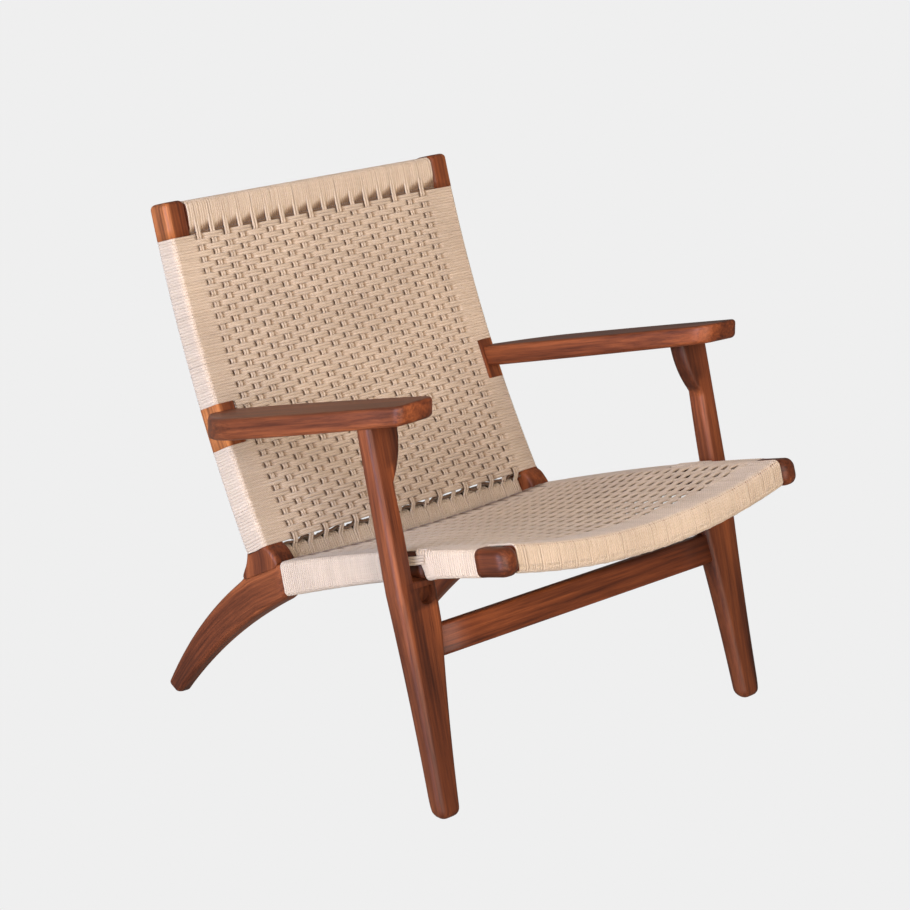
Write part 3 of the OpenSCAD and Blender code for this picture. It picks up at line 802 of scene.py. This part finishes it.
def back_warp():
    """Warp pairs: round the top rail, down through the weave and round the bottom rail."""
    z = np.linspace(POST_CAP_Z + 6, WRAP_LOW_Z - 1, BACK_ROWS * 5)
    row = (POST_CAP_Z - z) / BACK_PITCH - 0.5
    d, h = TOP_RAIL_D - HALF, TOP_RAIL_H - HALF
    head, head_n = track([(d, 9, 0), (d, h, 8.5), (HALF, h, 8.5), (HALF, HOOK_Q, 0)], closed=False, flat=5)
    d, h = LOW_RAIL_D - HALF, LOW_RAIL_H - HALF
    tail, tail_n = track([(HALF, h - 3, 0), (HALF, LOW_RAIL_UNDER, 8), (d, LOW_RAIL_UNDER, 8), (d, h - 4, 0)],
                         closed=False, flat=5)
    cords = []
    for j in range(WARPS):
        for s in (-1, 1):
            swing = np.cos(np.pi * (row + j)) * WARP_SWING
            fade = smooth((POST_CAP_Z + 1 - z) / 5) * smooth((z - WRAP_LOW_Z) / 6)
            x = back_warp_x(j, z) + s * WARP_GAP + 0.2 * np.sin(z / 23 + j * 2.1 + s)
            depth = (WARP_MID - swing) * fade + (1.7 + 1.4 * (z < 400)) * (1 - fade)
            middle = back_point(x, depth, z)
            path = np.concatenate([TOP_RAIL.point(x[0], *head.T), middle, LOW_RAIL.point(x[-1], *tail.T)])
            normal = np.concatenate([TOP_RAIL.normal(*head_n.T), back_normal(0, -1, z),
                                     LOW_RAIL.normal(*tail_n.T)])
            cords.append((path, normal, CORD_W, 0.0))
    return strands("back_warp", cords, WARP_T)


# ---- seat ----

SEAT = RailFrame(BOARD_FRONT_Y, rail_low(BOARD_FRONT_Y) + 1, SLOPE)
FRONT_RAIL_D, FRONT_RAIL_H, FRONT_DIP = 29.0, 39.0, 29.0
REAR_RAIL_D, REAR_DIP = 40.0, 8.0
REAR_RAIL_P = (52.0 - BOARD_FRONT_Y) / math.cos(SLOPE) - 4
FRONT_ZONE = 52.0
SEAT_WARPS, SEAT_WARP_IN = 18, 16.0  # warp pairs, and how far inside the boards the outer ones lie
SEAT_ROW = 8.7
SINK = 1.6  # the rear rail's cord lies this far below the boards' top edge


def ring_on_board(p):
    """The side rail's section at p along the seat: lower point (y, z), the way up and the height."""
    y = BOARD_FRONT_Y + p * math.cos(SLOPE)
    for _ in range(4):
        y = BOARD_FRONT_Y + (p + (rail_low(y) - SEAT.z) * math.sin(SLOPE)) / math.cos(SLOPE)
    low = np.array([y, rail_low(y)])
    up = np.array([math.sin(SLOPE), math.cos(SLOPE)])
    h = (rail_top(y) - rail_low(y)) * math.cos(SLOPE)
    return low, up, h


def seat_top(p):
    """Height of the side boards' top edge in the seat's frame."""
    y = BOARD_FRONT_Y + np.asarray(p) * math.cos(SLOPE) + 9
    return (rail_top(y) - SEAT.z) * math.cos(SLOPE) + (y - SEAT.y) * math.sin(SLOPE)


def seat_half(p):
    """Half width between the side boards at p along the seat."""
    return board_inner(BOARD_FRONT_Y + np.asarray(p) * math.cos(SLOPE))


def seat_dip(x, p):
    """How far the seat hangs below the line between the side boards."""
    deep = FRONT_DIP + (REAR_DIP - FRONT_DIP) * np.clip(p / REAR_RAIL_P, 0, 1)
    return deep * np.maximum(1 - (x / seat_half(p)) ** 2, 0)


def seat_surface(p):
    """Height of the cord's upper face before the dip: over the front rail, then along the side boards."""
    near = 1 - smooth((p - 18) / (FRONT_ZONE - 10))
    return FRONT_RAIL_H * near + seat_top(p) * (1 - near)


def seat_rows():
    """Row number and place along the seat of each weft strand, two to a row."""
    n = int((REAR_RAIL_P - FRONT_ZONE + 6) / SEAT_ROW)
    for i in range(n):
        for s in (-0.25, 0.25):
            yield i, FRONT_ZONE + (i + 0.5 + s) * SEAT_ROW


def seat_warp_x(j, p):
    """Place across the seat of warp pair j, at p along it."""
    return (2 * j / (SEAT_WARPS - 1) - 1) * (seat_half(p) - SEAT_WARP_IN)


def seat_weft():
    """Weft strands of the seat, then on over the side boards to their outer edges."""
    cords = []
    for i, p in seat_rows():
        low, up, h = ring_on_board(p)
        free = LEG_GAP[0] < low[0] < LEG_GAP[1] or low[0] > WRAP_REAR_Y
        reach = 2.0 if free else BOARD_T - EDGE_R - HALF + 1
        over = np.array([on_board(a, *(low + up * (h - HALF + 0.15))) for a in np.linspace(0, reach, 5)])
        edge = over[0, 0]
        x = np.linspace(-edge, edge, 10 * SEAT_WARPS + 3)
        cross = np.array([seat_warp_x(j, p) for j in range(SEAT_WARPS)])
        fade = smooth((edge - np.abs(x)) / EDGE_FADE)
        depth, down = weft_depth(x, cross, i, SEAT_DIVE)
        # Painted shade where the weft dives under the warps; it also widens the strand
        hollow = np.r_[np.zeros(4), down * fade, np.zeros(4)]
        depth = HALF + (depth - HALF) * fade + seat_dip(x, p)
        middle = SEAT.point(x, p + wander(x) * fade, seat_top(p) - depth)
        middle += (over[0] * [0, 1, 1] - middle[-1] * [0, 1, 1]) * (1 - fade[:, None])
        left = over[1:][::-1] * [-1, 1, 1]
        path = np.concatenate([left, middle, over[1:]])
        cords.append((path, np.tile(SEAT.normal(0, 1), (len(path), 1)),
                      SEAT_ROW / 2 * (FULL + 0.7 * hollow), hollow))
    return strands("seat_weft", cords, WEFT_T)


def seat_warp():
    """Warp pairs from under the front rail, over the seat and round the rear rail."""
    f = FRONT_RAIL_H - HALF
    head, head_n = track([(22, HALF, 0), (HALF, HALF, 7), (HALF, f, 8), (14, f, 0)], closed=False, flat=6)
    run = np.linspace(17, REAR_RAIL_P + 8, 270)
    far = REAR_RAIL_P + REAR_RAIL_D - HALF
    top = float(seat_top(REAR_RAIL_P)) - SINK - HALF
    tail, tail_n = track([(REAR_RAIL_P + 10, top, 0), (far, top, 12), (far, top - 24, 6),
                          (REAR_RAIL_P + 6, top - 24, 0)], closed=False, flat=6)
    cords = []
    row = (run - FRONT_ZONE) / SEAT_ROW - 0.5
    fade = smooth((run - FRONT_ZONE - 1) / 6) * smooth((REAR_RAIL_P + 2 - run) / 8)
    # Painted shade on the sunken warps, and on their tails round the rear rail
    hollow = np.r_[np.zeros(len(head)), 0.85 * fade, np.full(len(tail), 0.9)]
    normal = np.concatenate([SEAT.normal(*head_n.T), SEAT.normal(0 * run, 1 + 0 * run),
                             SEAT.normal(*tail_n.T)])
    for j in range(SEAT_WARPS):
        for s in (-1, 1):
            x = seat_warp_x(j, run) + s * WARP_GAP + 0.2 * np.sin(run / 23 + j * 2.1 + s)
            swing = np.cos(np.pi * (row + j))
            depth = (WARP_MID + SEAT_SINK - swing * WARP_SWING) * fade
            depth += (HALF + SINK * (run > 200)) * (1 - fade)
            middle = SEAT.point(x, run, seat_surface(run) - depth - seat_dip(x, run))
            a = SEAT.point(x[0], head[:, 0], head[:, 1] - seat_dip(x[0], 0))
            c = SEAT.point(x[-1], tail[:, 0], tail[:, 1] - seat_dip(x[-1], REAR_RAIL_P))
            cords.append((np.concatenate([a, middle, c]), normal, CORD_W, hollow))
    return strands("seat_warp", cords, WARP_T)


def seat_rail_turns(name, outline, p_at):
    """Closed filler turns round the bowed seat rail at p_at along the seat, between its warp pairs."""
    cords = []
    (p, q), m = outline[0].T, outline[1]
    warps = [seat_warp_x(j, p_at) for j in range(SEAT_WARPS)]
    for x, pitch in fillers(warps, seat_half(p_at) - 0.5, BAND):
        x = x + RNG.normal(0, 0.1)
        drop = seat_dip(x, p_at + 0 * p if p_at else p)
        # Painted shadow on the rear rail's turns behind the seat, under the back's bottom rail
        cords.append((SEAT.point(x, p, q - drop), SEAT.normal(*m.T), pitch * FULL,
                      smooth((p - REAR_RAIL_P - 16) / 14)))
    return strands(name, cords, CORD_T, closed=True)


def front_rail_outline():
    """The front fillers run back over the rail to where the weave starts, then back under it."""
    f = FRONT_RAIL_H - HALF
    end = float(seat_surface(FRONT_ZONE)) - HALF
    far = FRONT_ZONE + 1
    return track([(HALF, HALF, 7), (FRONT_RAIL_D, HALF, 7), (far, end - 6, 2), (far, end, 2), (24, f, 20),
                  (HALF, f, 8)], flat=6)


def rear_rail_outline():
    top = float(seat_top(REAR_RAIL_P)) - SINK - HALF
    a, b = REAR_RAIL_P - 1, REAR_RAIL_P + REAR_RAIL_D + 4
    return track([(a, top - 26, 7), (b, top - 26, 8), (b, top + 2, 9), (a, top, 3)])


def board_wrap(name, y0, y1, side):
    """Turns of cord round a side board between y0 and y1, in step with the seat's weft."""
    cords = []
    first = y0 == CAP_Y
    for k in range(-6, 110):
        p = FRONT_ZONE + (k + 0.5) * SEAT_ROW / 2
        low, up, h = ring_on_board(p)
        if not y0 + 1 < low[0] < y1 - 1:
            continue
        q, m = loop(BOARD_T, h, (EDGE_R, EDGE_R, EDGE_R, 2.5))
        slack = max(0.0, 1 - (y1 - low[0]) / 26) ** 1.4 if first else 0.0
        lean = RNG.normal(0, 0.2) * (1 - q[:, 1] / h) + slack * (18 * (q[:, 1] / h) ** 2 - 7)
        cords.append(([on_board(a, *(low + up * b)) + SPLAY_V * t for (a, b), t in zip(q, lean)],
                      [SPLAY_U * a + SPLAY_V * up[0] * b + np.array([0, 0, up[1] * b]) for a, b in m],
                      SEAT_ROW / 2 * (0.96 * RNG.uniform(0.92, 1.06) + 0.5 * slack), 0.0))
    return strands(name, cords, CORD_T, closed=True, side=side)


# Strands past the front leg: place across the board, part of its height, and 1 on its outer face or 0 on top
GAP_STRANDS = [(BOARD_T + 1.6, 0.60, 1), (BOARD_T + 1.6, 0.70, 1), (BOARD_T + 1.2, 0.80, 1)]
GAP_STRANDS += [(a, 1.0, 0) for a in (26, 21.5, 17, 12.5, 8)]


def gap_strands(name, side):
    """Strands that carry the cord past the front leg, along the outer face and the top of the side rail."""
    cords = []
    y = np.linspace(LEG_GAP[0] - 3, LEG_GAP[1] + 7, 24)
    sag = np.sin(np.pi * (y - y[0]) / (y[-1] - y[0]))
    for a, b, out in GAP_STRANDS:
        z = rail_low(y) + (rail_top(y) - rail_low(y)) * b - 0.4 * (1 - out) - 1.5 * sag * out
        cords.append(([on_board(a - (1 - t) * out, v, w) for v, w, t in zip(y, z, sag)],
                      np.tile(SPLAY_U if out else (0, 0, 1.0), (len(y), 1)), CORD_W, 0.0))
    return strands(name, cords, CORD_T, side=side)


# ---- materials ----

def srgb(r, g, b):
    """Linear colour from 0-255 display values."""
    out = []
    for v in (r, g, b):
        v /= 255
        out.append(v / 12.92 if v <= 0.04045 else ((v + 0.055) / 1.055) ** 2.4)
    return (*out, 1.0)


class Shader:
    """Short hands for a node tree with a Principled shader."""

    def __init__(self, name, roughness, **sockets):
        self.material = bpy.data.materials.new(name)
        self.material.use_nodes = True
        self.tree = self.material.node_tree
        self.bsdf = self.tree.nodes["Principled BSDF"]
        self.bsdf.inputs["Roughness"].default_value = roughness
        for key, value in sockets.items():
            self.bsdf.inputs[key.replace("_", " ")].default_value = value

    def node(self, kind, values=(), **links):
        made = self.tree.nodes.new(kind)
        for key, value in dict(values).items():
            if key in made.inputs:
                made.inputs[key].default_value = value
            else:
                setattr(made, key, value)
        for key, source in links.items():
            self.tree.links.new(source, made.inputs[key.replace("_", " ")])
        return made

    def attribute(self, name):
        return self.node("ShaderNodeAttribute", {"attribute_name": name})

    def math(self, operation, a, b=None, c=None):
        made = self.tree.nodes.new("ShaderNodeMath")
        made.operation = operation
        self.feed(made.inputs, (a, b, c))
        return made.outputs[0]

    def feed(self, sockets, values):
        """Gives each socket its number, colour or link, and leaves it alone at None."""
        for socket, value in zip(sockets, values):
            if isinstance(value, (int, float, tuple)):
                socket.default_value = value
            elif value is not None:
                self.tree.links.new(value, socket)

    def noise(self, vector, scale, detail=4, rough=0.55, distortion=0.0):
        return self.node("ShaderNodeTexNoise", {"Scale": scale, "Detail": detail, "Roughness": rough,
                                                "Distortion": distortion}, Vector=vector).outputs[0]

    def stretch(self, vector, scale):
        return self.node("ShaderNodeMapping", {"Scale": scale}, Vector=vector).outputs[0]

    def ramp(self, value, stops):
        made = self.node("ShaderNodeValToRGB", Fac=value)
        while len(made.color_ramp.elements) < len(stops):
            made.color_ramp.elements.new(0.5)
        for element, (at, colour) in zip(made.color_ramp.elements, stops):
            element.position, element.color = at, colour
        return made.outputs[0]

    def times(self, a, b, factor=1.0):
        """Colour a multiplied by b, as far as factor says."""
        made = self.tree.nodes.new("ShaderNodeMix")
        made.data_type, made.blend_type = "RGBA", "MULTIPLY"
        self.feed((made.inputs[0], made.inputs[6], made.inputs[7]), (factor, a, b))
        return made.outputs[2]

    def bump(self, height, strength, distance):
        made = self.node("ShaderNodeBump", {"Strength": strength, "Distance": distance}, Height=height)
        self.tree.links.new(made.outputs[0], self.bsdf.inputs["Normal"])

    def colour(self, source):
        self.tree.links.new(source, self.bsdf.inputs["Base Color"])

    def rough(self, source):
        self.tree.links.new(source, self.bsdf.inputs["Roughness"])


RED_STAIN = (176, 96, 66)
# Tints for painted light on the posts' outer faces, and for painted shade and darker wood
PAINTED_LIGHT_TINT, DARKER = (2.4, 3.1, 3.0, 1), (0.32, 0.30, 0.32, 1)
WHITE = (1, 1, 1, 1)


def wood_material(name, dark, mid, light, roughness=0.48, coordinates="grain"):
    """Straight-grained wood under a satin stain: bands of growth, fine streaks and open pores, with painted
    light and painted shade from the pieces' point attributes.
    """
    s = Shader(name, roughness, Coat_Weight=0.06, Coat_Roughness=0.22, Specular_IOR_Level=0.24)
    if coordinates == "grain":
        place = s.attribute("grain").outputs["Vector"]
    else:
        place = s.node("ShaderNodeTexCoord").outputs["Object"]
    bands = s.noise(s.stretch(place, (34, 34, 2.2)), 1.0, 3, 0.5, 0.6)
    streaks = s.noise(s.stretch(place, (260, 260, 7)), 1.0, 5, 0.6)
    patches = s.noise(s.stretch(place, (7, 7, 3)), 1.0, 2, 0.5)
    pores = s.noise(s.stretch(place, (900, 900, 28)), 1.0, 2, 0.5)
    value = s.math("ADD", s.math("MULTIPLY", bands, 0.55), s.math("MULTIPLY", streaks, 0.45))
    wood = s.ramp(value, ((0.36, srgb(*dark)), (0.5, srgb(*mid)), (0.64, srgb(*light))))
    wood = s.times(wood, srgb(*RED_STAIN), s.math("MULTIPLY", patches, 0.5))
    # Painted light on the posts' outer faces, then painted shade in recesses and on the armrests' tops, and
    # darker wood on the board caps and low on the legs.
    wood = s.times(wood, PAINTED_LIGHT_TINT, s.attribute("tone").outputs["Fac"])
    wood = s.times(wood, DARKER, s.attribute("dim").outputs["Fac"])
    s.colour(s.times(wood, s.ramp(pores, ((0.36, (0.55, 0.55, 0.55, 1)), (0.46, WHITE))), 0.6))
    s.rough(s.math("ADD", roughness - 0.06, s.math("MULTIPLY", streaks, 0.12)))
    s.bump(s.math("ADD", pores, streaks), 0.12, 0.0006)
    return s.material


PLIES, LAY_LENGTH = 3, 0.011
CORD_DARK, CORD_MID, CORD_LIGHT = srgb(190, 165, 141), srgb(211, 187, 164), srgb(226, 206, 187)
# Painted shade for strands deep in the weave: half way down, and all the way down
HALF_DEEP, DEEP = (0.66, 0.59, 0.51, 1), (0.27, 0.18, 0.11, 1)


def cord_material():
    """Twisted kraft-paper cord: plies laid in a spiral, with flecks and lighter and darker strands, painted
    shade in the grooves between the plies and on strands deep in the weave.
    """
    s = Shader("paper_cord", 0.78, Sheen_Weight=0.25, Sheen_Roughness=0.5)
    lay = s.node("ShaderNodeSeparateXYZ", Vector=s.attribute("lay").outputs["Vector"])
    turn = s.math("ARCTAN2", lay.outputs["Y"], lay.outputs["X"])
    advance = s.math("MULTIPLY", lay.outputs["Z"], 2 * math.pi * PLIES / LAY_LENGTH)
    phase = s.math("ADD", s.math("MULTIPLY", turn, PLIES), advance)
    twist = s.math("MULTIPLY_ADD", s.math("SINE", phase), 0.5, 0.5)
    place = s.node("ShaderNodeTexCoord").outputs["Object"]
    flecks = s.noise(place, 900, 3, 0.6)
    drift = s.noise(place, 9, 3, 0.55)
    shade = s.attribute("shade").outputs["Fac"]
    hollow = s.attribute("hollow").outputs["Fac"]
    cord = s.ramp(flecks, ((0.3, CORD_DARK), (0.5, CORD_MID), (0.72, CORD_LIGHT)))
    cord = s.times(cord, s.ramp(drift, ((0.35, srgb(228, 222, 214)), (0.65, srgb(255, 252, 246)))), 0.5)
    cord = s.times(cord, s.ramp(shade, ((0.0, (0.91, 0.90, 0.89, 1)), (1.0, WHITE))))
    # Painted shade in the grooves between the plies
    cord = s.times(cord, s.ramp(twist, ((0.0, (0.72, 0.68, 0.64, 1)), (0.35, WHITE))), 0.55)
    # Painted shade on strands deep in the weave
    s.colour(s.times(cord, s.ramp(hollow, ((0.0, WHITE), (0.45, HALF_DEEP), (0.95, DEEP)))))
    s.bump(s.math("ADD", twist, s.math("MULTIPLY", flecks, 0.3)), 0.6, 0.0004)
    return s.material


def metal_material(name, colour, roughness):
    """Plain turned metal with fine marks and a slight tarnish."""
    s = Shader(name, roughness, Metallic=1.0)
    colour = srgb(*colour)
    place = s.node("ShaderNodeTexCoord").outputs["Object"]
    marks = s.noise(s.stretch(place, (900, 900, 120)), 1.0, 3)
    tarnish = s.noise(place, 140, 3)
    worn = tuple(c * 0.7 for c in colour[:3]) + (1.0,)
    s.colour(s.ramp(tarnish, ((0.35, worn), (0.6, colour))))
    s.rough(s.math("ADD", roughness - 0.1, s.math("MULTIPLY", marks, 0.25)))
    s.bump(marks, 0.1, 0.0002)
    return s.material


# ---- the pieces ----

WALNUT = wood_material("stained_walnut", (76, 36, 19), (121, 63, 34), (160, 89, 49))
CORD = cord_material()
HANDS = ((-1, "left"), (1, "right"))


def wood_pieces():
    makers = {"side_board": side_board, "back_post": back_post, "front_leg": front_leg, "armrest": armrest}
    for side, word in HANDS:
        for part, make in makers.items():
            node = f"{word}_{part}"
            finish_piece(make(f"{node}_wood", side), WALNUT, [node])
    finish_piece(stretcher("front_stretcher_wood"), WALNUT, ["front_stretcher"])


def cord_pieces():
    def done(piece, *nodes):
        finish_piece(piece, CORD, nodes)

    done(back_weft(), "back_weave")
    done(back_warp())
    top, low = back_rail_cords()
    done(top, "back_top_rail_wrap")
    done(low, "back_bottom_rail_wrap")
    done(seat_weft(), "seat_weave")
    done(seat_warp())
    done(seat_rail_turns("front_rail_turns", front_rail_outline(), 0.0), "seat_front_rail_wrap")
    done(seat_rail_turns("rear_rail_turns", rear_rail_outline(), REAR_RAIL_P), "seat_rear_rail_wrap")
    for side, word in HANDS:
        done(post_wrap(f"{word}_post_cord_upper", POST_GAP[1], POST_CAP_Z, side), f"{word}_post_wrap_upper")
        done(post_wrap(f"{word}_post_cord_lower", WRAP_LOW_Z, POST_GAP[0], side), f"{word}_post_wrap_lower")
        done(board_wrap(f"{word}_seat_cord_rear", LEG_GAP[1], WRAP_REAR_Y, side), f"{word}_seat_wrap_rear")
        done(board_wrap(f"{word}_seat_cord_front", CAP_Y, LEG_GAP[0], side), f"{word}_seat_wrap_front")
        done(gap_strands(f"{word}_gap_cord", side))


def carried_nodes():
    """CAD nodes that stay as they are, with their finishes."""
    core = wood_material("rail_wood", (74, 36, 22), (112, 62, 42), (150, 86, 58), 0.5, "object")
    beech = wood_material("beech", (150, 110, 76), (190, 148, 108), (214, 176, 136), 0.5, "object")
    steel = metal_material("steel", (44, 36, 32), 0.6)
    brass = metal_material("brass", (190, 160, 96), 0.35)
    finishes = ((core, "back_top_rail back_bottom_rail seat_front_rail seat_rear_rail"),
                (beech, "post_dowels back_rail_dowels seat_rail_dowels arm_leg_dowels arm_post_dowels"),
                (steel, "leg_bolts leg_barrel_nuts"), (brass, "seat_cord_nails back_cord_nails"))
    for material, nodes in finishes:
        for node in nodes.split():
            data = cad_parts[node].data
            data.materials.clear()
            data.materials.append(material)


# ---- floor, light and camera ----

BACKDROP = srgb(239, 239, 239)
SKY, SKY_STRENGTH = srgb(243, 236, 226), 0.31
FLOOR_SIZE, FLOOR_Z = 120.0, -0.0005
WALL_R, WALL_H = 30.0, 60.0
LIGHT_TARGET = (0, 0, 0.4)


def studio():
    """Even light from all round, four soft boxes, and a pale floor and far wall that cast no light."""
    world = bpy.data.worlds.new("studio")
    bpy.context.scene.world = world
    world.use_nodes = True
    sky = world.node_tree.nodes["Background"].inputs
    sky["Color"].default_value = SKY
    sky["Strength"].default_value = SKY_STRENGTH

    floor = Shader("floor", 1.0, Base_Color=(0.0, 0.0, 0.0, 1), Specular_IOR_Level=0.0,
                   Emission_Color=BACKDROP, Emission_Strength=1.0).material
    bpy.ops.mesh.primitive_plane_add(size=FLOOR_SIZE, location=(0, 0, FLOOR_Z))
    plane = bpy.context.object
    plane.name = "floor"
    bpy.ops.mesh.primitive_cylinder_add(vertices=96, radius=WALL_R, depth=WALL_H, end_fill_type="NOTHING",
                                        location=(0, 0, WALL_H / 2 - 0.1))
    wall = bpy.context.object
    wall.name = "far_wall"
    for part in (plane, wall):
        part.data.materials.append(floor)
        part.visible_diffuse = part.visible_glossy = part.visible_shadow = False

    def softbox(name, azimuth, elevation, distance, size, power, colour):
        data = bpy.data.lights.new(name, "AREA")
        data.shape, data.size, data.size_y, data.energy = "RECTANGLE", size[0], size[1], power
        data.color = colour
        aimed(name, data, LIGHT_TARGET, azimuth, elevation, distance)

    softbox("key", -88, 11, 3.2, (2.6, 2.6), 164, (0.62, 0.76, 1.06))
    softbox("front", -30, 14, 3.4, (3.0, 3.0), 128, (1.0, 0.935, 0.86))
    softbox("low", -12, -3, 3.4, (2.0, 1.0), 8, (1.0, 0.945, 0.88))
    softbox("top", -30, 78, 3.4, (2.4, 2.4), 20, (1.0, 0.78, 0.56))
    bpy.context.scene.view_settings.view_transform = "Standard"


def aimed(name, data, target, azimuth, elevation, distance):
    """A light or camera that looks at the target: azimuth 0 is in front of the chair, -90 on its left."""
    a, e = rad(azimuth), rad(elevation)
    back = np.array([math.sin(a) * math.cos(e), -math.cos(a) * math.cos(e), math.sin(e)])
    thing = bpy.data.objects.new(name, data)
    bpy.context.scene.collection.objects.link(thing)
    thing.location = target + back * distance
    thing.rotation_mode = "QUATERNION"
    thing.rotation_quaternion = Vector(-back).to_track_quat("-Z", "Y")
    return thing


VIEW_AZIMUTH, VIEW_ELEVATION, VIEW_DISTANCE = -45.203, 16.267, 3.98595
VIEW_TARGET = np.array([-0.0194, 0.0112, 0.3764])
LENS = 112.64


def camera():
    data = bpy.data.cameras.new("camera")
    data.lens, data.sensor_width = LENS, 36.0
    data.clip_start, data.clip_end = 0.05, 200.0
    bpy.context.scene.camera = aimed("camera", data, VIEW_TARGET, VIEW_AZIMUTH, VIEW_ELEVATION, VIEW_DISTANCE)


wood_pieces()
cord_pieces()
carried_nodes()
studio()
camera()
